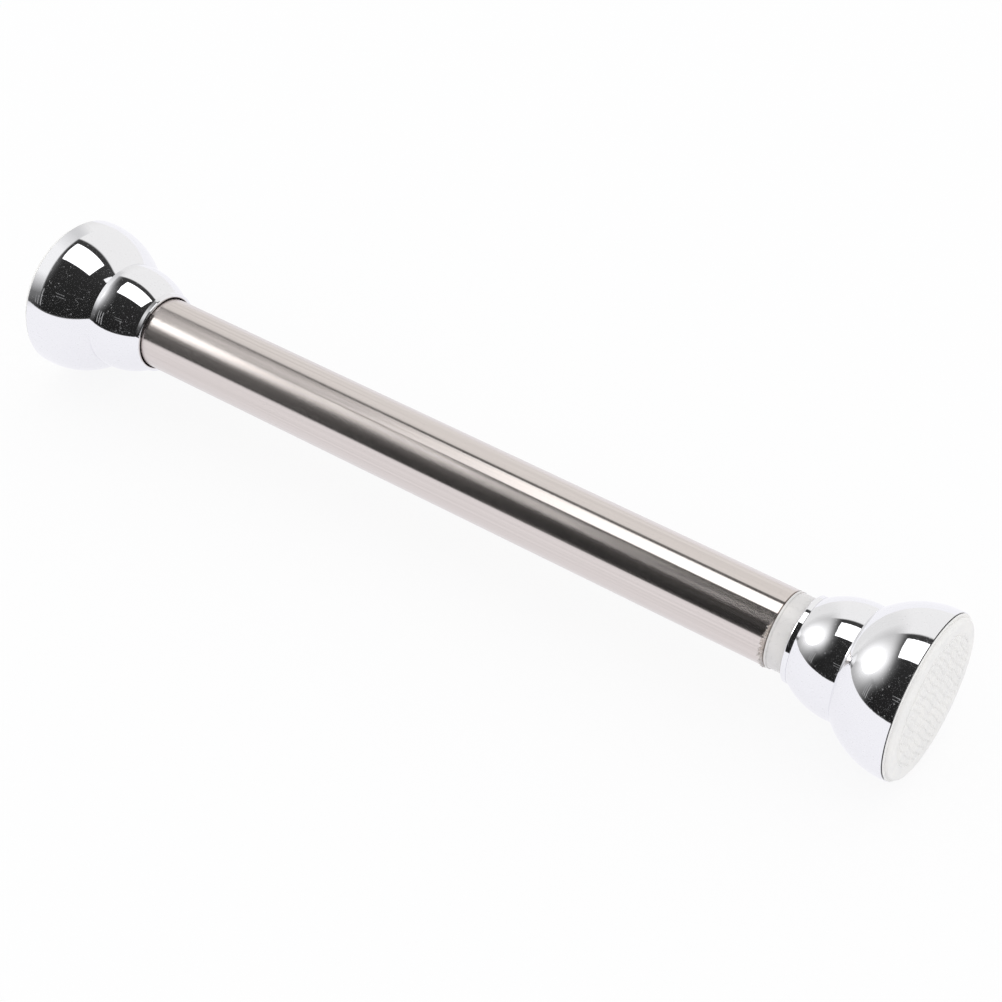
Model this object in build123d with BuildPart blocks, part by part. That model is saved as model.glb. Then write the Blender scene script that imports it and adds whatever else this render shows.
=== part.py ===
"""Extendable tension curtain rod, drawn fully closed.

The rod lies along +X. The origin is the middle of the left pad's face, so a wall at X = 0
carries the rod and everything else lies at positive X. All sizes are in millimetres.
"""
from build123d import *
from math import cos, pi, radians, sin
import os

os.makedirs("parts", exist_ok=True)

# Tubes
outer_tube_diameter = 25.0
outer_tube_wall = 0.6
outer_tube_length = 272.0
inner_tube_diameter = 22.0
inner_tube_wall = 0.6
tube_edge_chamfer = 0.2

# Working travel
travel = 150.0
spring_stroke = 12.0

# Clearances
plug_fit = 0.1
running_fit = 0.2
sliding_fit = 0.3
seat_gap = 0.3
mouth_fit = 0.4
stroke_reserve = 2.0

# Chromed end caps, two domes one above the other
cap_height = 40.0
cap_wall = 1.6
wide_dome_radius = 28.0
wide_dome_reach = 26.8
wide_dome_height = 1.6
narrow_dome_radius = 24.8
narrow_dome_reach = 18.7
narrow_dome_setback = 16.35
lip_wall = 1.2
lip_length = 1.8
lip_round = 0.45

# Moulded cores inside the caps
core_flange_thickness = 2.5
core_seat_length = 9.3
core_step_length = 12.0
core_boss_wall = 0.9
core_lead_in = 0.8
rib_count = 8
rib_thickness = 1.6
rib_drop = 0.5
rib_root = 1.2

# Soft end pads
pad_projection = 2.4
pad_recess = 1.2
pad_field_diameter = 42.0
pad_field_height = 0.3
pad_inset = 0.9
pad_round = 1.2
pad_skirt_thickness = 0.4
pad_skirt_inset = 0.3

# Collar in the mouth of the outer tube
collar_length = 6.1
collar_sleeve_length = 14.0
collar_relief = 0.25
collar_rim_thickness = 0.7

# Spring, its plug and its snap stem
plug_length = 10.0
plug_gap = 2.0
plug_groove_width = 2.4
plug_groove_depth = 1.0
spring_length = 40.0
spring_wire = 1.6
spring_mean_diameter = 17.0
spring_turns = 7.0
stem_diameter = 7.0
snap_head_overhang = 1.0
snap_head_length = 4.0
snap_head_land = 1.0
snap_slot_width = 1.4
snap_slot_length = 16.0

# Lead screw and nut
screw_lead = 10.0
thread_root_diameter = 13.2
thread_depth = 2.0
thread_crest_angle = 70.0
thread_flank_angle = 55.0
thread_clearance = 0.3
screw_flange_thickness = 4.0
screw_neck_length = 4.0
nut_flange_thickness = 4.0
nut_length = 14.0

# Radii and stations that follow
outer_radius = outer_tube_diameter / 2
outer_bore = outer_radius - outer_tube_wall
inner_radius = inner_tube_diameter / 2
inner_bore = inner_radius - inner_tube_wall
cap_bore = outer_radius + mouth_fit
thread_root = thread_root_diameter / 2
thread_crest = thread_root + thread_depth
stem_radius = stem_diameter / 2
stem_bore = stem_radius + sliding_fit
snap_radius = stem_radius + snap_head_overhang
snap_bore = snap_radius + sliding_fit
core_bore = thread_crest + 2 * thread_clearance

narrow_dome_height = cap_height - narrow_dome_setback
flange_radius = wide_dome_reach - cap_wall - 2 * seat_gap
flange_top = pad_recess + core_flange_thickness
outer_seat = flange_top + core_seat_length
inner_seat = outer_seat + core_step_length
core_tip = inner_seat + core_step_length

left_base = pad_projection
outer_left = left_base + outer_seat
outer_right = outer_left + outer_tube_length
collar_right = outer_right + collar_length
right_base = collar_right + seat_gap + cap_height
rod_length = right_base + pad_projection

plug_left = left_base + core_tip + plug_gap
plug_right = plug_left + plug_length
screw_left = plug_right + spring_length
screw_shoulder = screw_left + screw_flange_thickness
nut_left = screw_shoulder + seat_gap
inner_left = nut_left + nut_flange_thickness
inner_right = right_base - inner_seat
nut_right = inner_left + nut_length
thread_start = screw_shoulder
thread_length = nut_right - thread_start + travel + stroke_reserve
snap_shoulder = screw_shoulder + screw_neck_length
snap_left = snap_shoulder + seat_gap
snap_right = snap_left + snap_head_length
snap_chamber_end = snap_right + spring_stroke + stroke_reserve


def end_plane(base, way):
    """Drawing plane of one end: X runs from the cap's base towards its mouth, Y is the radius."""
    return Plane(origin=(base, 0, 0), x_dir=(way, 0, 0), z_dir=(0, 0, way))


def tube(left, length, radius, wall):
    """A plain round tube along X with both ends deburred."""
    with BuildPart() as body:
        with BuildSketch(Plane.YZ.offset(left)):
            Circle(radius)
            Circle(radius - wall, mode=Mode.SUBTRACT)
        extrude(amount=length)
        chamfer(body.edges().filter_by(GeomType.CIRCLE).group_by(SortBy.RADIUS)[-1], tube_edge_chamfer)
    return body


def dome_area(inset):
    """The area under both domes, drawn in by inset, down to the axis."""
    with Locations((wide_dome_height, wide_dome_reach - wide_dome_radius)):
        Circle(wide_dome_radius - inset)
    with Locations((narrow_dome_height, narrow_dome_reach - narrow_dome_radius)):
        Circle(narrow_dome_radius - inset)


def above_axis(low, high):
    """Keeps the part of the sketch above the axis and between two heights."""
    with Locations((low, 0)):
        Rectangle(high - low, 2 * wide_dome_reach, align=(Align.MIN, Align.MIN), mode=Mode.INTERSECT)


def cap_shell(base, way):
    """The chromed shell: two domes with a sharp crease between them, and a rolled lip at the mouth."""
    plane = end_plane(base, way)
    lip_radius = cap_bore + lip_wall
    with BuildSketch(mode=Mode.PRIVATE) as hollow:
        dome_area(cap_wall)
        above_axis(0, cap_height - lip_length)
    with BuildPart() as shell:
        with BuildSketch(plane):
            dome_area(0)
            above_axis(0, cap_height)
            with Locations((cap_height - lip_length, 0)):
                Rectangle(lip_length, lip_radius, align=(Align.MIN, Align.MIN))
            add(hollow.sketch, mode=Mode.SUBTRACT)
            Rectangle(cap_height, cap_bore, align=(Align.MIN, Align.MIN), mode=Mode.SUBTRACT)
        revolve(axis=Axis(plane.origin, plane.x_dir))
        lip_edges = shell.edges().filter_by(GeomType.CIRCLE).filter_by_position(
            Axis(plane.origin, plane.x_dir), cap_height - lip_round / 2, cap_height + lip_round / 2
        )
        fillet(lip_edges, lip_round)
    return shell


def core(base, way):
    """The moulded core: flange, ribbed boss and two steps, one for each tube's bore."""
    plane = end_plane(base, way)
    boss_radius = outer_radius + core_boss_wall
    with BuildPart() as body:
        with BuildSketch(plane):
            with Locations((pad_recess, 0)):
                Rectangle(core_flange_thickness, flange_radius, align=(Align.MIN, Align.MIN))
                Rectangle(outer_seat - pad_recess, boss_radius, align=(Align.MIN, Align.MIN))
                Rectangle(inner_seat - pad_recess, outer_bore - plug_fit, align=(Align.MIN, Align.MIN))
                Rectangle(core_tip - pad_recess, inner_bore - plug_fit, align=(Align.MIN, Align.MIN))
            with Locations((flange_top, 0)):
                Rectangle(core_tip, core_bore, align=(Align.MIN, Align.MIN), mode=Mode.SUBTRACT)
        revolve(axis=Axis(plane.origin, plane.x_dir))
        with BuildSketch(plane) as rib:
            dome_area(cap_wall + seat_gap)
            above_axis(pad_recess + rib_root, outer_seat - rib_drop)
            Rectangle(core_tip, outer_radius, align=(Align.MIN, Align.MIN), mode=Mode.SUBTRACT)
        web = extrude(rib.sketch, amount=rib_thickness / 2, both=True, mode=Mode.PRIVATE)
        for turn in range(rib_count):
            add(web.rotate(Axis(plane.origin, plane.x_dir), turn * 360 / rib_count))
        tip = body.faces().filter_by(Axis.X).sort_by(Axis(plane.origin, plane.x_dir))[-1]
        chamfer(tip.outer_wire().edges(), core_lead_in)
    return body


def pad(base, way):
    """The soft pad: a boss let into the cap, a thin skirt, a rounded body and a slightly raised field."""
    plane = end_plane(base, way)
    base_radius = wide_dome_reach - pad_skirt_inset
    body_radius = wide_dome_reach - pad_inset
    body_height = pad_projection - pad_field_height
    with BuildPart() as body:
        with BuildSketch(plane):
            Rectangle(pad_skirt_thickness, base_radius, align=(Align.MAX, Align.MIN))
            with BuildSketch(mode=Mode.PRIVATE) as side:
                Rectangle(body_height, body_radius, align=(Align.MAX, Align.MIN))
                fillet(side.vertices().group_by(Axis.X)[0].sort_by(Axis.Y)[-1], pad_round)
            add(side.sketch)
            Rectangle(pad_projection, pad_field_diameter / 2, align=(Align.MAX, Align.MIN))
            Rectangle(pad_recess, flange_radius, align=(Align.MIN, Align.MIN))
        revolve(axis=Axis(plane.origin, plane.x_dir))
    return body


def thread_section(growth):
    """Cross-section of the one-start thread: root arc, crest arc and two flanks."""
    root = thread_root + growth
    crest = thread_crest + growth
    half_crest = thread_crest_angle / 2
    half_base = half_crest + thread_flank_angle

    def at(radius, angle):
        return (radius * cos(radians(angle)), radius * sin(radians(angle)))

    with BuildSketch(Plane.YZ.offset(thread_start)) as section:
        with BuildLine():
            ThreePointArc(at(crest, -half_crest), at(crest, 0), at(crest, half_crest))
            Line(at(crest, half_crest), at(root, half_base))
            ThreePointArc(at(root, half_base), at(root, 180), at(root, -half_base))
            Line(at(root, -half_base), at(crest, -half_crest))
        make_face()
    return section.sketch.face()


def thread_solid(length, growth):
    """The thread's section carried along X while it turns, once for each lead."""
    return Solid.extrude_linear_with_rotation(
        thread_section(growth), (thread_start, 0, 0), (length, 0, 0), 360 * length / screw_lead
    )


# Tubes
outer_tube = tube(outer_left, outer_tube_length, outer_radius, outer_tube_wall)
inner_tube = tube(inner_left, inner_right - inner_left, inner_radius, inner_tube_wall)

# End caps, cores and pads
left_cap = cap_shell(left_base, 1)
left_core = core(left_base, 1)
left_pad = pad(left_base, 1)
right_cap = cap_shell(right_base, -1)
right_core = core(right_base, -1)
right_pad = pad(right_base, -1)

# Mouth collar
with BuildPart() as mouth_collar:
    with BuildSketch(Plane.XY):
        with Locations((outer_right, inner_radius + running_fit)):
            Rectangle(
                collar_length,
                outer_radius - collar_relief - inner_radius - running_fit,
                align=(Align.MIN, Align.MIN),
            )
            Rectangle(
                collar_rim_thickness,
                outer_radius - inner_radius - running_fit,
                align=(Align.MIN, Align.MIN),
            )
            Rectangle(
                collar_sleeve_length,
                outer_bore - inner_radius - running_fit,
                align=(Align.MAX, Align.MIN),
            )
    revolve(axis=Axis.X)

# Spring plug with its split snap stem
with BuildPart() as spring_plug:
    with BuildSketch(Plane.XY):
        with Locations((plug_left, 0)):
            Rectangle(plug_length, outer_bore, align=(Align.MIN, Align.MIN))
            Rectangle(snap_right - plug_left, stem_radius, align=(Align.MIN, Align.MIN))
        with BuildLine():
            Polyline(
                (snap_left, 0),
                (snap_left, snap_radius),
                (snap_left + snap_head_land, snap_radius),
                (snap_right, stem_radius - snap_head_overhang),
                (snap_right, 0),
                close=True,
            )
        make_face()
        with Locations((plug_left + plug_length / 2, outer_bore)):
            Rectangle(plug_groove_width, 2 * plug_groove_depth, mode=Mode.SUBTRACT)
    revolve(axis=Axis.X)
    with Locations((snap_right, 0, 0)):
        Box(
            snap_slot_length,
            snap_slot_width,
            2 * snap_bore,
            align=(Align.MAX, Align.CENTER, Align.CENTER),
            mode=Mode.SUBTRACT,
        )

# Compression spring
with BuildPart() as spring:
    with BuildLine() as coil:
        Helix(
            pitch=(spring_length - spring_wire - 2 * seat_gap) / spring_turns,
            height=spring_length - spring_wire - 2 * seat_gap,
            radius=spring_mean_diameter / 2,
            center=(plug_right + spring_wire / 2 + seat_gap, 0, 0),
            direction=(1, 0, 0),
        )
    with BuildSketch(Plane(coil.line @ 0, z_dir=coil.line % 0)):
        Circle(spring_wire / 2)
    sweep(path=coil.line, is_frenet=True)

# Lead screw
with BuildPart() as lead_screw:
    with BuildSketch(Plane.YZ.offset(screw_left)):
        Circle(outer_bore - sliding_fit)
    extrude(amount=screw_flange_thickness)
    add(thread_solid(thread_length, 0))
    with BuildSketch(Plane.YZ.offset(screw_left)):
        Circle(stem_bore)
    extrude(amount=snap_shoulder - screw_left, mode=Mode.SUBTRACT)
    with BuildSketch(Plane.YZ.offset(snap_shoulder)):
        Circle(snap_bore)
    extrude(amount=snap_chamber_end - snap_shoulder, mode=Mode.SUBTRACT)

# Nut in the end of the inner tube
nut_cutter = thread_solid(nut_right - thread_start + screw_lead, thread_clearance)
with BuildPart() as nut:
    with BuildSketch(Plane.YZ.offset(nut_left)):
        Circle(outer_bore - sliding_fit)
    extrude(amount=nut_flange_thickness)
    with BuildSketch(Plane.YZ.offset(inner_left)):
        Circle(inner_bore)
    extrude(amount=nut_length)
    add(nut_cutter, mode=Mode.SUBTRACT)

pieces = {
    "outer_tube": outer_tube,
    "inner_tube": inner_tube,
    "left_cap": left_cap,
    "left_core": left_core,
    "left_pad": left_pad,
    "right_cap": right_cap,
    "right_core": right_core,
    "right_pad": right_pad,
    "mouth_collar": mouth_collar,
    "spring_plug": spring_plug,
    "spring": spring,
    "lead_screw": lead_screw,
    "nut": nut,
}
for name, piece in pieces.items():
    piece.part.label = name
    export_step(piece.part, f"parts/{name}.step")
print("closed", round(rod_length, 2), "open", round(rod_length + travel, 2))
print("twist for each metre of travel", round(2 * pi / screw_lead * 1000, 6), "rad")
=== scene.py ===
"""Extendable tension curtain rod: finishes, soft pads, spring, studio and camera."""
import logging
import math
import random
from dataclasses import dataclass
from enum import Enum

import bmesh
import bpy
from mathutils import Euler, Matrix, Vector


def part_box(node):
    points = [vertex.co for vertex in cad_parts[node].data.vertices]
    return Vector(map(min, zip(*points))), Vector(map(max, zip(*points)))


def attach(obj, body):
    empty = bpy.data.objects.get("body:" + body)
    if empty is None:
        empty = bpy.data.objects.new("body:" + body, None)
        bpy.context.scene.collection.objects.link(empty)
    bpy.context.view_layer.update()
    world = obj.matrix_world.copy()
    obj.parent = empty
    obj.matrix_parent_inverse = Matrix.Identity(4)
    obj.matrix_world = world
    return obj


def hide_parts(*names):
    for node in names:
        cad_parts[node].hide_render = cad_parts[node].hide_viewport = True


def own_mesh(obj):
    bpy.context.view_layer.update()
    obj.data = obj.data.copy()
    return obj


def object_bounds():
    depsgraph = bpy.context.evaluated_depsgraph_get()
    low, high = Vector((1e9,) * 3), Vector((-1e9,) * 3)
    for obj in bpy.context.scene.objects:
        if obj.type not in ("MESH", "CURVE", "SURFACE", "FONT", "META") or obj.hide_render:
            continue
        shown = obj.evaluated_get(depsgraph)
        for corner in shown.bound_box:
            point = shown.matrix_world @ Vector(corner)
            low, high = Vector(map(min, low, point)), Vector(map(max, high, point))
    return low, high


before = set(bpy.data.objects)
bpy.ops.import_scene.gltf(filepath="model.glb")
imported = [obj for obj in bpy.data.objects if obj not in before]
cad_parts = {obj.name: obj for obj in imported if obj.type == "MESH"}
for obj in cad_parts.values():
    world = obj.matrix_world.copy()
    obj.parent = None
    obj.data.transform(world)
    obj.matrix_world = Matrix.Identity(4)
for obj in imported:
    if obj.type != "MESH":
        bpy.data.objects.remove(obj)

LOG = logging.getLogger("curtain_rod")
CAD_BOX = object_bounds()
MM = 0.001
IMAGE_SIZE = 1002
SHARP_EDGE = math.radians(40)
FULL_TURN = 360.0
TO_DEGREES = 180 / math.pi

Colour = tuple[float, float, float]
Point = tuple[float, float, float]
Range = tuple[float, float]
Outline = list[tuple[float, float]]
Input = float | tuple[float, ...] | bpy.types.NodeSocket

UNIT: Range = (0.0, 1.0)
MIDDLING: Range = (0.3, 0.7)
WHITE = (1.0, 1.0, 1.0, 1.0)


class End(Enum):
    """The two ends of the rod: the value is the way from the cap's base towards its mouth."""

    LEFT = 1
    RIGHT = -1

    @property
    def body(self) -> str:
        """The body that this end's pieces ride on."""
        return f"{self.name.lower()}_end"

    def node(self, piece: str) -> str:
        """The CAD node of one piece of this end."""
        return f"{self.name.lower()}_{piece}"


@dataclass(frozen=True)
class Specks:
    """Scattered dust: places in each metre, a speck's size in that spacing, their share and strength."""

    scale: float
    size: float
    share: float
    strength: float


class NodeBench:
    """Lays out the nodes of one shader; values pass from node to node as sockets."""

    def __init__(self, tree: bpy.types.NodeTree) -> None:
        """Starts with an empty node tree."""
        self.tree = tree
        tree.nodes.clear()

    def add(self, kind: str, **settings: object) -> bpy.types.Node:
        """Adds a node.

        Args:
            kind: The node's type name.
            settings: Attributes to set on the node.

        Returns:
            The new node.
        """
        node = self.tree.nodes.new(kind)
        for key, value in settings.items():
            setattr(node, key, value)
        return node

    def feed(self, target: bpy.types.NodeSocket, value: Input) -> None:
        """Gives an input a value.

        Args:
            target: The input socket.
            value: A number, a tuple of numbers or another node's output socket.
        """
        if isinstance(value, bpy.types.NodeSocket):
            self.tree.links.new(value, target)
        else:
            target.default_value = value

    def math(self, operation: str, *values: Input) -> bpy.types.NodeSocket:
        """One step of arithmetic.

        Args:
            operation: The math node's operation.
            values: Its inputs, numbers or sockets.

        Returns:
            The result's socket.
        """
        node = self.add("ShaderNodeMath", operation=operation)
        for target, value in zip(node.inputs, values):
            self.feed(target, value)
        return node.outputs[0]

    def times(self, first: Input, second: Input) -> bpy.types.NodeSocket:
        """The product of two values."""
        return self.math("MULTIPLY", first, second)

    def apart(self, vector: bpy.types.NodeSocket) -> list[bpy.types.NodeSocket]:
        """Splits a vector into its values along X, Y and Z.

        Args:
            vector: The vector's socket.

        Returns:
            The three sockets.
        """
        split = self.add("ShaderNodeSeparateXYZ")
        self.feed(split.inputs[0], vector)
        return list(split.outputs)

    def length(self, first: bpy.types.NodeSocket, second: bpy.types.NodeSocket) -> bpy.types.NodeSocket:
        """How far a place given by two values is from zero."""
        return self.math("SQRT", self.math("ADD", self.times(first, first), self.times(second, second)))

    def degrees(self, up: bpy.types.NodeSocket, back: bpy.types.NodeSocket) -> bpy.types.NodeSocket:
        """The angle round the rod: 0 is level behind it, 90 straight up, 180 level in front."""
        return self.times(self.math("ARCTAN2", up, back), TO_DEGREES)

    def span(self, value: bpy.types.NodeSocket, old: Range, new: Range = UNIT,
             smooth: bool = False) -> bpy.types.NodeSocket:
        """Maps a value from one range to another, clamped.

        Args:
            value: The value's socket.
            old: The range of the value that counts.
            new: The range it is mapped to.
            smooth: Whether it eases in and out.

        Returns:
            The mapped value's socket.
        """
        node = self.add("ShaderNodeMapRange")
        if smooth:
            node.interpolation_type = "SMOOTHSTEP"
        for socket, number in zip(("From Min", "From Max", "To Min", "To Max"), (*old, *new)):
            node.inputs[socket].default_value = number
        self.feed(node.inputs["Value"], value)
        return node.outputs["Result"]

    def blend(self, share: bpy.types.NodeSocket, *colours: Input) -> bpy.types.NodeSocket:
        """Mixes two colours by a value.

        Args:
            share: The share of the second colour.
            colours: The two colours, each a plain colour or another node's output socket.

        Returns:
            The mixed colour's socket.
        """
        node = self.add("ShaderNodeMix", data_type="RGBA")
        self.feed(node.inputs[0], share)
        for target, colour in zip((node.inputs[6], node.inputs[7]), colours):
            self.feed(target, (*colour, 1.0) if isinstance(colour, tuple) else colour)
        return node.outputs[2]

    def mixed(self, share: bpy.types.NodeSocket, first: bpy.types.Node,
              second: bpy.types.Node) -> bpy.types.Node:
        """Mixes two shaders by a value.

        Args:
            share: The share of the second shader.
            first: The shader where the share is 0.
            second: The shader where it is 1.

        Returns:
            The mix node.
        """
        node = self.add("ShaderNodeMixShader")
        for target, value in zip(node.inputs, (share, first.outputs[0], second.outputs[0])):
            self.feed(target, value)
        return node

    def surface(self, kind: str, shader: bpy.types.Node) -> None:
        """Joins a shader to a new output node of the given kind."""
        output = self.add(kind)
        self.feed(output.inputs["Surface"], shader.outputs[0])


class FinishBench(NodeBench):
    """The nodes of one finish on the rod, placed by the rod's own coordinates."""

    BREAK_SCALE = 170.0
    BREAK_EDGE: Range = (0.56, 0.64)

    def __init__(self, name: str) -> None:
        """Starts an empty finish.

        Args:
            name: The material's name.
        """
        self.material = bpy.data.materials.new(name)
        self.material.use_nodes = True
        super().__init__(self.material.node_tree)
        self.shader = self.add("ShaderNodeBsdfPrincipled")
        self.surface("ShaderNodeOutputMaterial", self.shader)
        self.place = self.add("ShaderNodeTexCoord").outputs["Object"]

    def set(self, **values: Input) -> None:
        """Sets the finish's shader inputs; an underscore in a name stands for a space."""
        for name, value in values.items():
            self.feed(self.shader.inputs[name.replace("_", " ")], value)

    def noise(self, scale: float | Point, detail: float) -> bpy.types.NodeSocket:
        """A noise over the object's coordinates.

        Args:
            scale: Repeats for each metre, the same all round or along each axis.
            detail: How many finer layers it has.

        Returns:
            The noise value's socket.
        """
        stretch = self.add("ShaderNodeMapping")
        stretch.inputs["Scale"].default_value = scale if isinstance(scale, tuple) else (scale,) * 3
        self.feed(stretch.inputs["Vector"], self.place)
        texture = self.add("ShaderNodeTexNoise")
        texture.inputs["Scale"].default_value = 1.0
        texture.inputs["Detail"].default_value = detail
        self.feed(texture.inputs["Vector"], stretch.outputs["Vector"])
        return texture.outputs["Fac"]

    def specks(self, dust: Specks) -> bpy.types.NodeSocket:
        """Scattered round specks.

        Args:
            dust: How many there are, their size and their strength.

        Returns:
            A value that is the strength in a speck and 0 outside.
        """
        texture = self.add("ShaderNodeTexVoronoi")
        texture.inputs["Scale"].default_value = dust.scale
        self.feed(texture.inputs["Vector"], self.place)
        spot = self.span(texture.outputs["Distance"], (dust.size, dust.size / 2))
        split = self.add("ShaderNodeSeparateColor")
        self.feed(split.inputs[0], texture.outputs["Color"])
        chosen = self.math("LESS_THAN", split.outputs[0], dust.share)
        return self.times(self.times(spot, chosen), dust.strength)

    def hairlines(self, scale: Point, width: float) -> bpy.types.NodeSocket:
        """Thin broken lines, where a noise crosses its middle value.

        Args:
            scale: Repeats for each metre along each axis.
            width: The lines' width, in the noise's own value.

        Returns:
            A value that is 1 on a line and 0 elsewhere.
        """
        middle = self.math("ABSOLUTE", self.math("SUBTRACT", self.noise(scale, 0.0), 0.5))
        broken = self.span(self.noise(self.BREAK_SCALE, 0.0), self.BREAK_EDGE)
        return self.times(self.span(middle, (width, 0.0)), broken)

    def bump(self, height: bpy.types.NodeSocket, distance: float) -> None:
        """Raises the surface by a value.

        Args:
            height: The value.
            distance: The height in metres where it is 1.
        """
        node = self.add("ShaderNodeBump")
        node.inputs["Distance"].default_value = distance
        self.feed(node.inputs["Height"], height)
        self.set(Normal=node.outputs["Normal"])


@dataclass(frozen=True)
class PlatedShell:
    """Bright chrome plating on moulded plastic, with fine dust and a few hairline scratches."""

    bright: Colour = (0.885, 0.885, 0.905)
    dull: Colour = (0.865, 0.865, 0.885)
    plated: float = 0.992
    roughness: Range = (0.02, 0.05)
    cloud_scale: float = 60.0
    dust: Specks = Specks(1500.0, 0.46, 0.07, 0.20)
    fine_dust: Specks = Specks(3000.0, 0.55, 0.20, 0.05)
    scratch: float = 0.20
    scratch_scale: Point = (210.0, 240.0, 260.0)
    scratch_width: float = 0.006
    ripple: float = 0.012 * MM
    ripple_scale: float = 55.0

    def build(self) -> bpy.types.Material:
        """Makes the finish: dust and scratches are less metallic, so they show in dark reflections.

        Returns:
            The material.
        """
        bench = FinishBench("plated_shell")
        cloud = bench.noise(self.cloud_scale, 2.0)
        marks = bench.times(bench.hairlines(self.scratch_scale, self.scratch_width), self.scratch)
        for dust in (self.dust, self.fine_dust):
            marks = bench.math("MAXIMUM", marks, bench.specks(dust))
        bench.set(Base_Color=bench.blend(cloud, self.bright, self.dull),
                  Metallic=bench.math("SUBTRACT", self.plated, marks),
                  Roughness=bench.span(cloud, MIDDLING, self.roughness))
        bench.bump(bench.noise(self.ripple_scale, 1.0), self.ripple)
        return bench.material


@dataclass(frozen=True)
class BrushedTube:
    """Stainless tube, satin polished round about, with faint drawing lines along its length, and
    optionally painted shade just inside its end.
    """

    name: str
    painted_shade_end: float | None = None
    pale: Colour = (0.725, 0.67, 0.645)
    dark: Colour = (0.66, 0.605, 0.58)
    # Painted shade: colour and width of the dark ring at the tube's end, standing in for the shadow in the
    # gap at the collar.
    painted_gap_shade_colour: Colour = (0.16, 0.12, 0.10)
    painted_gap_shade_band: Range = (0.55 * MM, 0.25 * MM)
    line_scale: Point = (6.0, 2600.0, 2600.0)
    line_spread: Range = (0.35, 0.7)
    patch_scale: Point = (14.0, 420.0, 420.0)
    patch_spread: Range = (0.35, 0.72)
    roughness: Range = (0.15, 0.20)
    stretch: float = 1.0
    stretch_turn: float = 0.25
    bare: float = 0.99
    dust: Specks = Specks(2200.0, 0.5, 0.16, 0.10)
    brush_height: float = 0.0022 * MM

    def build(self) -> bpy.types.Material:
        """Makes the finish, stretched along the tube, with a thin band of painted shade just inside its
        end if it is given one, standing in for the shadow of the gap at the collar.

        Returns:
            The material.
        """
        bench = FinishBench(self.name)
        lines = bench.noise(self.line_scale, 4.0)
        patches = bench.noise(self.patch_scale, 3.0)
        steel = bench.blend(bench.span(lines, self.line_spread), self.pale, self.dark)
        # Painted shade: darkens the steel just inside the tube's end, for the shadow in the gap between
        # tube and collar.
        if self.painted_shade_end is not None:
            inside = bench.math("SUBTRACT", self.painted_shade_end, bench.apart(bench.place)[0])
            steel = bench.blend(bench.span(inside, self.painted_gap_shade_band), steel, self.painted_gap_shade_colour)
        bench.set(Base_Color=steel, Metallic=bench.math("SUBTRACT", self.bare, bench.specks(self.dust)),
                  Roughness=bench.span(patches, self.patch_spread, self.roughness),
                  Anisotropic=self.stretch, Anisotropic_Rotation=self.stretch_turn,
                  Tangent=bench.add("ShaderNodeTangent", direction_type="RADIAL", axis="X").outputs[0])
        bench.bump(lines, self.brush_height)
        return bench.material


@dataclass(frozen=True)
class MouldedPlastic:
    """Injection-moulded plastic with a faint grain."""

    name: str
    pale: Colour
    dark: Colour
    roughness: Range = (0.38, 0.55)
    grain: float = 900.0
    grain_height: float = 0.01 * MM
    grains_to_cloud: float = 6.0
    milky: float = 0.0
    milk_depth: float = 2.0 * MM
    clear: float = 0.0

    def build(self) -> bpy.types.Material:
        """Makes the finish.

        Returns:
            The material.
        """
        bench = FinishBench(self.name)
        cloud = bench.noise(self.grain / self.grains_to_cloud, 3.0)
        grain = bench.noise(self.grain, 2.0)
        bench.set(Base_Color=bench.blend(bench.span(cloud, MIDDLING), self.pale, self.dark),
                  Roughness=bench.span(grain, MIDDLING, self.roughness),
                  Subsurface_Weight=self.milky, Subsurface_Radius=(self.milk_depth,) * 3,
                  Transmission_Weight=self.clear)
        bench.bump(grain, self.grain_height)
        return bench.material


@dataclass(frozen=True)
class SpringWire:
    """Drawn spring steel with faint drawing marks."""

    dark: Colour = (0.42, 0.42, 0.43)
    pale: Colour = (0.58, 0.58, 0.58)
    mark_scale: Point = (1500.0, 900.0, 900.0)
    roughness: Range = (0.25, 0.4)

    def build(self) -> bpy.types.Material:
        """Makes the finish.

        Returns:
            The material.
        """
        bench = FinishBench("spring_wire")
        marks = bench.noise(self.mark_scale, 3.0)
        bench.set(Base_Color=bench.blend(marks, self.dark, self.pale), Metallic=1.0,
                  Roughness=bench.span(marks, MIDDLING, self.roughness))
        return bench.material


def new_piece(name: str, mesh: bpy.types.Mesh, material: bpy.types.Material) -> bpy.types.Object:
    """Puts a mesh in the scene as an object with one material, smooth but for its sharp edges.

    Args:
        name: The piece's name.
        mesh: Its mesh, in the rod's frame.
        material: Its finish.

    Returns:
        The new object.
    """
    piece = bpy.data.objects.new(name, mesh)
    bpy.context.scene.collection.objects.link(piece)
    mesh.materials.append(material)
    for face in mesh.polygons:
        face.use_smooth = True
    mesh.set_sharp_from_angle(angle=SHARP_EDGE)
    return piece


def finished(shape: bmesh.types.BMesh, name: str) -> bpy.types.Mesh:
    """Turns a bmesh into a mesh with its faces all facing out, and frees the bmesh.

    Args:
        shape: The bmesh.
        name: The mesh's name.

    Returns:
        The mesh.
    """
    bmesh.ops.recalc_face_normals(shape, faces=shape.faces)
    mesh = bpy.data.meshes.new(name)
    shape.to_mesh(mesh)
    shape.free()
    return mesh


def dress(node: str, material: bpy.types.Material) -> None:
    """Gives a CAD node a finish.

    Args:
        node: The CAD node's name.
        material: Its finish.
    """
    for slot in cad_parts[node].material_slots:
        slot.material = material
    LOG.info("dressed %s with %s", node, material.name)


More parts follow.
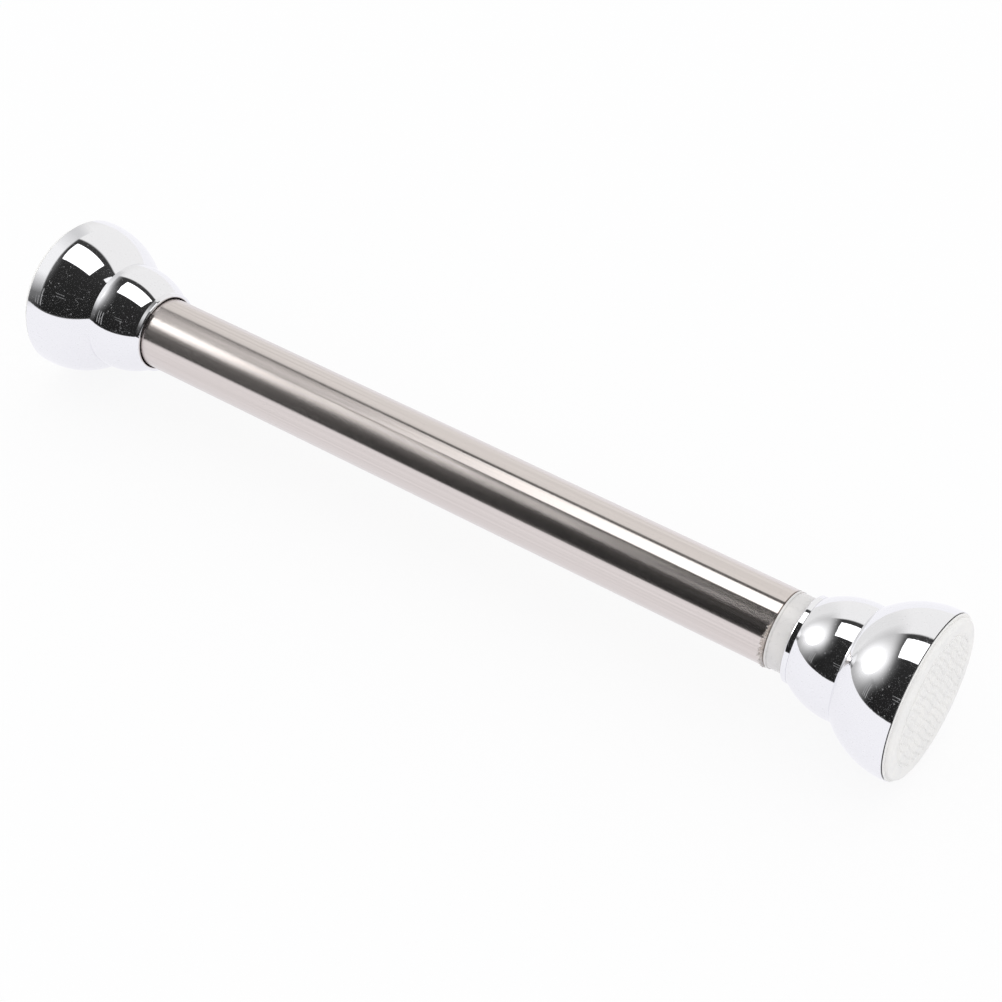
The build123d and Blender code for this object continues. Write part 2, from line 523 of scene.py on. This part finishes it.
@dataclass
class SoftPad:
    """One soft end pad: boss, skirt over a thin seam, rounded border and a raised field of small cells."""

    end: End
    material: bpy.types.Material
    boss_radius: float = 24.6 * MM
    boss_depth: float = 1.2 * MM
    seam_gap: float = 0.22 * MM
    seam_depth: float = 1.4 * MM
    skirt_thickness: float = 0.38 * MM
    border_inset: float = 0.95 * MM
    border_round: float = 0.8 * MM
    field_radius: float = 21.0 * MM
    field_drop: float = 0.3 * MM
    cell_pitch: float = 3.0 * MM
    row_gap: float = 1.9 * MM
    cell_stray: float = 0.14
    stray_across: Range = (12.9, 7.3)
    stray_up: Range = (5.7, 9.1)
    groove_width: float = 0.43 * MM
    groove_depth: float = 0.42 * MM
    ring_step: float = 0.21 * MM
    around: int = 440
    round_steps: int = 8

    def outline(self) -> Outline:
        """The pad's section, from the boss out and over the border to the middle of the face.

        Returns:
            Radius and height above the cap's base, point by point.
        """
        low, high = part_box(self.end.node("pad"))
        rim = (high.z - low.z) / 2
        height = high.x - low.x - self.boss_depth
        body = rim - self.border_inset
        border = height - self.field_drop
        ease = self.skirt_thickness / 4
        under, over = self.seam_gap, self.seam_gap + self.skirt_thickness
        points = [(self.boss_radius - ease, -self.boss_depth), (self.boss_radius, ease - self.boss_depth),
                  (self.boss_radius, 0.0), (rim - self.seam_depth, 0.0), (rim - self.seam_depth, under),
                  (rim - ease, under), (rim, under + ease), (rim, over - ease), (rim - ease, over),
                  (body, over)]
        for step in range(self.round_steps + 1):
            turn = math.pi / 2 * step / self.round_steps
            points.append((body - self.border_round * (1 - math.cos(turn)),
                           border - self.border_round * (1 - math.sin(turn))))
        radius = body - self.border_round - self.ring_step
        while radius > self.field_radius + self.ring_step:
            points.append((radius, border))
            radius -= self.ring_step
        points.append((self.field_radius, border))
        radius = self.field_radius - self.field_drop / 2
        while radius > self.ring_step:
            points.append((radius, height))
            radius -= self.ring_step
        return points

    def groove(self, y: float, z: float) -> float:
        """Depth of the cell pattern at a place on the face.

        Args:
            y: Place across the face.
            z: Place up the face.

        Returns:
            The depth in metres, nothing inside a cell and most along its border.
        """
        pitch, row_gap = self.cell_pitch, self.row_gap
        stray = self.cell_stray * pitch
        row = round(z / row_gap)
        nearest = []
        for near_row in (row - 1, row, row + 1):
            shift = pitch / 2 if near_row % 2 else 0.0
            column = round((y - shift) / pitch)
            for near in (column - 1, column, column + 1):
                across = math.sin(self.stray_across[0] * near + self.stray_across[1] * near_row)
                up = math.cos(self.stray_up[0] * near - self.stray_up[1] * near_row)
                middle_y = shift + near * pitch + stray * across
                middle_z = near_row * row_gap + stray * up
                nearest.append(math.hypot(y - middle_y, z - middle_z))
        nearest.sort()
        edge = (nearest[1] - nearest[0]) / 2
        if edge > self.groove_width:
            return 0.0
        return self.groove_depth * (0.5 + 0.5 * math.cos(math.pi * edge / self.groove_width))

    def mesh(self) -> bpy.types.Mesh:
        """Turns the section round the rod's line, with the cells pressed into the face.

        Returns:
            The pad's closed mesh.
        """
        low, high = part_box(self.end.node("pad"))
        seat = (high.x if self.end is End.LEFT else low.x) - self.end.value * self.boss_depth
        top = high.x - low.x - self.boss_depth
        field = self.field_radius - self.field_drop
        shape = bmesh.new()
        rings = []
        for radius, height in self.outline():
            raised = height > top - self.field_drop / 2 and radius < field
            ring = []
            for step in range(self.around):
                turn = 2 * math.pi * step / self.around
                y, z = radius * math.cos(turn), radius * math.sin(turn)
                out = height - (self.groove(y, z) if raised else 0.0)
                ring.append(shape.verts.new((seat - self.end.value * out, y, z)))
            rings.append(ring)
        for inner, outer in zip(rings, rings[1:]):
            for a in range(self.around):
                b = (a + 1) % self.around
                shape.faces.new((inner[a], inner[b], outer[b], outer[a]))
        for ring in (rings[0], rings[-1]):
            middle = shape.verts.new((ring[0].co.x, 0.0, 0.0))
            for a in range(self.around):
                shape.faces.new((ring[a], ring[(a + 1) % self.around], middle))
        return finished(shape, self.end.node("soft_pad"))

    def build(self) -> None:
        """Makes the pad and lets it stand for the CAD pad."""
        piece = new_piece(self.end.node("soft_pad"), self.mesh(), self.material)
        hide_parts(self.end.node("pad"))
        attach(piece, self.end.body)
        LOG.info("built %s", piece.name)


@dataclass
class EndCap:
    """One end of the rod: plated shell, moulded core and soft pad."""

    end: End
    shell: bpy.types.Material
    core: bpy.types.Material
    pad: bpy.types.Material

    def build(self) -> None:
        """Dresses the shell and the core and makes the pad."""
        dress(self.end.node("cap"), self.shell)
        dress(self.end.node("core"), self.core)
        SoftPad(self.end, self.pad).build()


@dataclass
class RodTubes:
    """Both tubes, the collar in the outer tube's mouth, and the torn film left at that edge."""

    outer: bpy.types.Material
    inner: bpy.types.Material
    collar: bpy.types.Material
    film: bpy.types.Material
    film_setback: float = 0.2 * MM
    film_reach: float = 2.0 * MM
    film_least: float = 0.1 * MM
    film_tears: Range = (0.35, 1.0)
    film_taper: float = 0.4
    film_lift: float = 0.07 * MM
    film_thickness: float = 0.08 * MM
    film_curl: float = 0.30 * MM
    film_columns: tuple[float, ...] = (0.0, 0.4, 0.75, 1.0)
    film_angles: Range = (128.0, 222.0)
    film_steps: int = 96
    film_seed: int = 7

    def build(self) -> None:
        """Dresses the tubes and the collar and adds the torn film."""
        dress("outer_tube", self.outer)
        dress("inner_tube", self.inner)
        dress("mouth_collar", self.collar)
        self.torn_film()

    def torn_film(self) -> None:
        """Makes the ragged strip of clear film that clings to the tube's edge."""
        low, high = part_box("outer_tube")
        radius = (high.z - low.z) / 2 + self.film_lift
        edge = high.x - self.film_setback
        first, last = self.film_angles
        chance = random.Random(self.film_seed)
        shape = bmesh.new()
        under, over = [], []
        for step in range(self.film_steps + 1):
            share = step / self.film_steps
            turn = math.radians(first + (last - first) * share)
            taper = math.sin(math.pi * share) ** self.film_taper
            reach = self.film_reach * taper * chance.uniform(*self.film_tears)
            curl = self.film_curl * chance.uniform(0.0, 1.0)
            for skin, lift in ((under, 0.0), (over, self.film_thickness)):
                column = []
                for along in self.film_columns:
                    out = radius + lift + curl * along ** 2
                    x = edge - (self.film_least + reach) * along
                    column.append(shape.verts.new((x, out * math.cos(turn), out * math.sin(turn))))
                skin.append(column)
        for skin in (under, over):
            for a, b in zip(skin, skin[1:]):
                for k in range(len(a) - 1):
                    shape.faces.new((a[k], a[k + 1], b[k + 1], b[k]))
        borders = [[[column[k] for column in skin] for skin in (under, over)] for k in (0, -1)]
        borders += [[under[k], over[k]] for k in (0, -1)]
        for below, above in borders:
            for k in range(len(below) - 1):
                shape.faces.new((below[k], below[k + 1], above[k + 1], above[k]))
        piece = new_piece("torn_film", finished(shape, "torn_film"), self.film)
        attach(piece, "outer")
        LOG.info("built torn_film")


@dataclass
class SpringDrive:
    """The hidden drive: plug, spring, lead screw and nut."""

    white: bpy.types.Material
    grey: bpy.types.Material
    wire: bpy.types.Material
    stroke: float = 12.0 * MM

    def build(self) -> None:
        """Dresses the drive's pieces and puts a copy of the spring, riding on the outer tube's body, in
        place of the CAD spring.
        """
        dress("spring_plug", self.white)
        dress("lead_screw", self.grey)
        dress("nut", self.grey)
        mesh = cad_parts["spring"].data.copy()
        mesh.materials.clear()
        coil = new_piece("wound_spring", mesh, self.wire)
        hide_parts("spring")
        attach(coil, "outer")
        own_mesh(coil)
        LOG.info("built wound_spring")


@dataclass
class PhotoCamera:
    """The camera, placed as the photograph's outline fit gives it."""

    place: Point = (473.8 * MM, -404.56 * MM, 448.81 * MM)
    pitch_down: float = 42.261
    heading: float = 35.582
    focal_pixels: float = 2119.9
    sensor: float = 36.0
    nearest: float = 10.0 * MM

    def build(self) -> None:
        """Makes the camera and hands it to the scene."""
        data = bpy.data.cameras.new("photo_camera")
        data.sensor_width = self.sensor
        data.lens = self.focal_pixels * self.sensor / IMAGE_SIZE
        data.clip_start = self.nearest
        camera = bpy.data.objects.new("photo_camera", data)
        camera.location = self.place
        camera.rotation_euler = (math.radians(90 - self.pitch_down), 0.0, math.radians(self.heading))
        bpy.context.scene.collection.objects.link(camera)
        bpy.context.scene.camera = camera


class Reflection:
    """A light that only shiny surfaces see, on a thin sheet that belongs to the stage."""

    @staticmethod
    def hang(name: str, corners: Outline, place: Point, turned: Point | Euler,
             material: bpy.types.Material) -> None:
        """Hangs a sheet in the studio.

        Args:
            name: The sheet's name.
            corners: Its outline in its own plane.
            place: Where its middle is.
            turned: Its rotation in radians.
            material: Its light.
        """
        mesh = bpy.data.meshes.new(name)
        mesh.from_pydata([(x, y, 0.0) for x, y in corners], [], [range(len(corners))])
        mesh.materials.append(material)
        sheet = bpy.data.objects.new(name, mesh)
        sheet.location = place
        sheet.rotation_euler = turned
        sheet.visible_camera = False
        sheet.visible_diffuse = False
        sheet.visible_transmission = False
        sheet.visible_shadow = False
        bpy.context.scene.collection.objects.link(sheet)

    @staticmethod
    def disc(radius: float, corners: int = 48) -> Outline:
        """The outline of a round sheet."""
        turns = (2 * math.pi * k / corners for k in range(corners))
        return [(radius * math.cos(turn), radius * math.sin(turn)) for turn in turns]

    @staticmethod
    def bench(name: str) -> tuple[NodeBench, bpy.types.Material, list[bpy.types.NodeSocket]]:
        """Starts a light.

        Args:
            name: The light's name.

        Returns:
            The bench, the light's material, and the place on the sheet along X and Y.
        """
        material = bpy.data.materials.new(name)
        material.use_nodes = True
        bench = NodeBench(material.node_tree)
        return bench, material, bench.apart(bench.add("ShaderNodeTexCoord").outputs["Object"])[:2]

    @staticmethod
    def glow(bench: NodeBench, strength: Input, mask: bpy.types.NodeSocket | None = None) -> None:
        """Ends a light with its glow.

        Args:
            bench: The light's bench.
            strength: How bright it glows.
            mask: Where it glows, clear elsewhere; without one it adds to what is behind it.
        """
        light = bench.add("ShaderNodeEmission")
        bench.feed(light.inputs["Strength"], strength)
        clear = bench.add("ShaderNodeBsdfTransparent")
        if mask is None:
            shader = bench.add("ShaderNodeAddShader")
            bench.feed(shader.inputs[0], light.outputs[0])
            bench.feed(shader.inputs[1], clear.outputs[0])
        else:
            shader = bench.mixed(mask, clear, light)
        bench.surface("ShaderNodeOutputMaterial", shader)


@dataclass(frozen=True)
class StudioPanel(Reflection):
    """A glowing rectangle beside the rod, or thin bright lines across it.

    Its angles are in degrees round the rod, as NodeBench.degrees gives them.
    """

    name: str
    along: Range
    angles: Range
    distance: float
    strength: float
    border: float
    stripes: int = 0
    stripe_edge: Range = (0.4, 0.8)

    def build(self) -> None:
        """Makes the panel and hangs it facing the rod."""
        width = self.along[1] - self.along[0]
        height = 2 * self.distance * math.tan(math.radians(self.angles[1] - self.angles[0]) / 2)
        turn = math.radians(sum(self.angles) / 2)
        corners = [(x * width / 2, y * height / 2) for x, y in ((-1, -1), (1, -1), (1, 1), (-1, 1))]
        place = (sum(self.along) / 2, self.distance * math.cos(turn), self.distance * math.sin(turn))
        self.hang(self.name, corners, place, (turn - math.pi / 2, 0.0, 0.0), self.light(width, height))

    def light(self, width: float, height: float) -> bpy.types.Material:
        """The panel's glow, clear where it fades out.

        Args:
            width: The sheet's size along the rod in metres.
            height: Its size across.

        Returns:
            The material.
        """
        bench, material, (along, across) = self.bench(self.name)
        mask = bench.times(*(
            bench.span(bench.math("ABSOLUTE", place), (size / 2, size / 2 - self.border), smooth=True)
            for place, size in ((along, width), (across, height))))
        if self.stripes:
            wave = bench.math("COSINE", bench.times(along, 2 * math.pi * self.stripes / width))
            mask = bench.times(mask, bench.span(wave, self.stripe_edge))
        self.glow(bench, self.strength, mask)
        return material


@dataclass(frozen=True)
class RoundLamp(Reflection):
    """The soft round key lamp up on the left, with a bright middle and a wide faint halo."""

    place: Point = (-1.469, -0.468, 1.004)
    aim: Point = (0.316, 0.0, 0.0)
    reach: float = 1.76
    halo: float = 2.0
    halo_fall: float = 3.0
    middle: float = 7.0
    middle_edge: Range = (0.50, 0.38)

    def build(self) -> None:
        """Makes the lamp and hangs it facing the right cap."""
        way = Vector(self.aim) - Vector(self.place)
        turned = way.to_track_quat("Z", "Y").to_euler()
        self.hang("round_lamp", self.disc(self.reach), self.place, turned, self.light())

    def light(self) -> bpy.types.Material:
        """The lamp's glow, added to whatever is seen behind it.

        Returns:
            The material.
        """
        bench, material, (x, y) = self.bench("round_lamp")
        away = bench.length(x, y)
        halo = bench.math("POWER", bench.span(away, (self.reach, 0.0)), self.halo_fall)
        middle = bench.span(away, self.middle_edge, (0.0, self.middle), smooth=True)
        self.glow(bench, bench.math("ADD", bench.times(halo, self.halo), middle))
        return material


@dataclass(frozen=True)
class EndCard(Reflection):
    """A small pale card just left of the rod, which shows as the bright strip on the left cap's rim.

    Its angles are in degrees round the rod, as NodeBench.degrees gives them.
    """

    gap: float = 10.0 * MM
    reach: Range = (64.0 * MM, 58.0 * MM)
    back_angles: Range = (75.0, 100.0)
    back_share: float = 0.70
    back_end: Range = (52.0, 72.0)
    front_angles: Range = (130.0, 152.0)
    front_share: float = 0.18
    front_end: Range = (172.0, 150.0)

    def build(self) -> None:
        """Makes the card and hangs it upright across the rod's line."""
        self.hang("end_card", self.disc(self.reach[0]), (-self.gap, 0.0, 0.0), (0.0, math.pi / 2, 0.0),
                  self.light())

    def light(self) -> bpy.types.Material:
        """The card's glow, weaker towards the back and the front, and clear below and past its edge.

        Returns:
            The material.
        """
        bench, material, (down, back) = self.bench("end_card")
        up = bench.times(down, -1.0)
        turn = bench.degrees(up, back)
        strength = bench.times(bench.span(turn, self.back_angles, (self.back_share, 1.0)),
                               bench.span(turn, self.front_angles, (1.0, self.front_share)))
        mask = bench.span(bench.length(up, back), self.reach, smooth=True)
        for end in (self.back_end, self.front_end):
            mask = bench.times(mask, bench.span(turn, end, smooth=True))
        self.glow(bench, strength, mask)
        return material


@dataclass
class Studio:
    """Pale floor, a dim room in front, a pale backdrop behind, an overhead window and soft lights.

    Steps are the room's brightness in shiny surfaces by the angle round the rod.
    """

    floor_gap: float = 0.1 * MM
    floor_size: float = 6.0
    floor_glow: float = 0.84
    floor_white: Colour = (0.92, 0.92, 0.93)
    floor_in_metal: Colour = (1.0, 0.995, 1.03)
    room_light: float = 1.04
    room_colour: Colour = (1.0, 0.995, 0.985)
    wall_near: Range = (-0.50, -0.72)
    wall_far: Range = (-0.62, -1.0)
    wall_fade: Range = (112.0, 150.0)
    far_share: float = 0.6
    wall_light: Range = (0.85, 0.60)
    wall_angles: Range = (40.0, 62.0)
    first_angle: float = -90.0
    steps: tuple[Range, ...] = (
        (-90.0, 0.95), (60.0, 0.95), (62.0, 0.04), (112.0, 0.018), (150.0, 0.013), (179.0, 0.01),
        (181.0, 0.30), (184.0, 0.9),
    )
    panels: tuple[StudioPanel, ...] = (
        StudioPanel("overhead_window", (-0.55, 0.70), (70.0, 101.5), 1.41, 2.1, 0.03),
        StudioPanel("small_window", (1.25, 1.50), (64.0, 88.0), 1.41, 1.1, 0.03),
        StudioPanel("upper_rail", (-0.10, 0.24), (147.3, 148.1), 1.41, 0.3, 0.005),
        StudioPanel("lower_rail", (-0.06, 0.26), (151.3, 152.1), 1.41, 0.3, 0.005),
        StudioPanel("stand_edges", (-0.36, -0.20), (148.0, 174.0), 0.55, 0.4, 0.02, stripes=3),
    )

    def build(self) -> None:
        """Makes the floor, the room and its lights, and sets the plain view transform."""
        self.floor()
        self.room()
        for light in (*self.panels, RoundLamp(), EndCard()):
            light.build()
        bpy.context.scene.view_settings.view_transform = "Standard"

    def floor(self) -> None:
        """Lays a pale floor that touches both caps, stays white to the camera and keeps the shadow."""
        low, _ = CAD_BOX
        size = self.floor_size
        mesh = bpy.data.meshes.new("studio_floor")
        corners = [(-size, -size), (size, -size), (size, size), (-size, size)]
        mesh.from_pydata([(x, y, low.z - self.floor_gap) for x, y in corners], [], [(0, 1, 2, 3)])
        plane = bpy.data.objects.new("studio_floor", mesh)
        bpy.context.scene.collection.objects.link(plane)
        material = bpy.data.materials.new("pale_floor")
        material.use_nodes = True
        bench = NodeBench(material.node_tree)
        path = bench.add("ShaderNodeLightPath")
        glow = bench.add("ShaderNodeEmission")
        bench.feed(glow.inputs["Color"],
                   bench.blend(path.outputs["Is Glossy Ray"], WHITE[:3], self.floor_in_metal))
        matte = bench.add("ShaderNodeBsdfDiffuse")
        matte.inputs["Color"].default_value = (*self.floor_white, 1.0)
        shown = bench.math("MAXIMUM", path.outputs["Is Camera Ray"], path.outputs["Is Glossy Ray"])
        bench.surface("ShaderNodeOutputMaterial",
                      bench.mixed(bench.times(shown, self.floor_glow), matte, glow))
        mesh.materials.append(material)

    def room(self) -> None:
        """Builds the world: plain light for surfaces, white for the camera, a dim room for metal."""
        world = bpy.data.worlds.new("studio_room")
        bpy.context.scene.world = world
        world.use_nodes = True
        bench = NodeBench(world.node_tree)
        along, back, up = bench.apart(bench.add("ShaderNodeTexCoord").outputs["Generated"])
        degrees = bench.degrees(up, back)
        below = bench.math("LESS_THAN", degrees, self.first_angle)
        round_rod = bench.math("ADD", degrees, bench.times(below, FULL_TURN))
        wall = self.wall_share(bench, along, round_rod)
        wall_light = bench.times(wall, bench.span(round_rod, self.wall_angles, self.wall_light))
        rest = bench.times(self.ramp(bench, round_rod), bench.math("SUBTRACT", 1.0, wall))
        path = bench.add("ShaderNodeLightPath")
        for_metal, plain, white = (bench.add("ShaderNodeBackground") for _ in range(3))
        bench.feed(for_metal.inputs["Strength"], bench.math("ADD", rest, wall_light))
        for_metal.inputs["Color"].default_value = (*self.room_colour, 1.0)
        plain.inputs["Strength"].default_value = self.room_light
        for background in (plain, white):
            background.inputs["Color"].default_value = WHITE
        direct = bench.math("MAXIMUM", path.outputs["Is Camera Ray"], path.outputs["Is Transmission Ray"])
        indirect = bench.mixed(path.outputs["Is Glossy Ray"], plain, for_metal)
        bench.surface("ShaderNodeOutputWorld", bench.mixed(direct, indirect, white))

    def ramp(self, bench: NodeBench, angle: bpy.types.NodeSocket) -> bpy.types.NodeSocket:
        """The room's brightness by the angle round the rod.

        Args:
            bench: The world's bench.
            angle: The angle in degrees, from the first one on.

        Returns:
            The brightness.
        """
        ramp = bench.add("ShaderNodeValToRGB")
        turned = bench.math("SUBTRACT", angle, self.first_angle)
        bench.feed(ramp.inputs[0], bench.math("DIVIDE", turned, FULL_TURN))
        elements = ramp.color_ramp.elements
        for k, (step, level) in enumerate(self.steps):
            place = (step - self.first_angle) / FULL_TURN
            mark = elements[k] if k < 2 else elements.new(place)
            mark.position = place
            mark.color = (level, level, level, 1.0)
        return ramp.outputs[0]

    def wall_share(self, bench: NodeBench, along: bpy.types.NodeSocket,
                   angle: bpy.types.NodeSocket) -> bpy.types.NodeSocket:
        """How much of the lit wall on the left is seen.

        Args:
            bench: The world's bench.
            along: The way looked, along the rod.
            angle: The angle round the rod in degrees.

        Returns:
            The wall's share, 0 to 1.
        """
        near = bench.times(bench.span(along, self.wall_near, smooth=True),
                           bench.span(angle, self.wall_fade, (1.0, 0.0)))
        far = bench.span(along, self.wall_far, (0.0, self.far_share), smooth=True)
        return bench.math("MAXIMUM", near, far)


def main() -> None:
    """Builds the rod's sub-assemblies, then the studio and the camera."""
    logging.basicConfig(level=logging.INFO, format="%(name)s: %(message)s")
    shell = PlatedShell().build()
    white = MouldedPlastic("white_plastic", (0.86, 0.86, 0.85), (0.78, 0.78, 0.77)).build()
    grey = MouldedPlastic("grey_plastic", (0.34, 0.35, 0.36), (0.26, 0.27, 0.28)).build()
    soft = MouldedPlastic("soft_pad", (0.885, 0.875, 0.855), (0.835, 0.83, 0.825), roughness=(0.45, 0.62),
                          grain=1400.0, grain_height=0.02 * MM, milky=0.1).build()
    milky = MouldedPlastic("milky_collar", (0.77, 0.75, 0.735), (0.67, 0.66, 0.66), roughness=(0.25, 0.38),
                           grain=700.0, milky=0.3).build()
    film = MouldedPlastic("clear_film", (0.97, 0.96, 0.95), (0.8, 0.76, 0.72), roughness=(0.1, 0.3),
                          grain=1600.0, grain_height=0.04 * MM, clear=0.88).build()
    for end in End:
        EndCap(end, shell, white, soft).build()
    # The outer tube gets painted shade at its end, for the shadow in the gap at the collar.
    outer = BrushedTube("outer_tube_steel", painted_shade_end=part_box("outer_tube")[1].x).build()
    RodTubes(outer, BrushedTube("inner_tube_steel").build(), milky, film).build()
    SpringDrive(white, grey, SpringWire().build()).build()
    Studio().build()
    PhotoCamera().build()


if __name__ == "__main__":
    main()
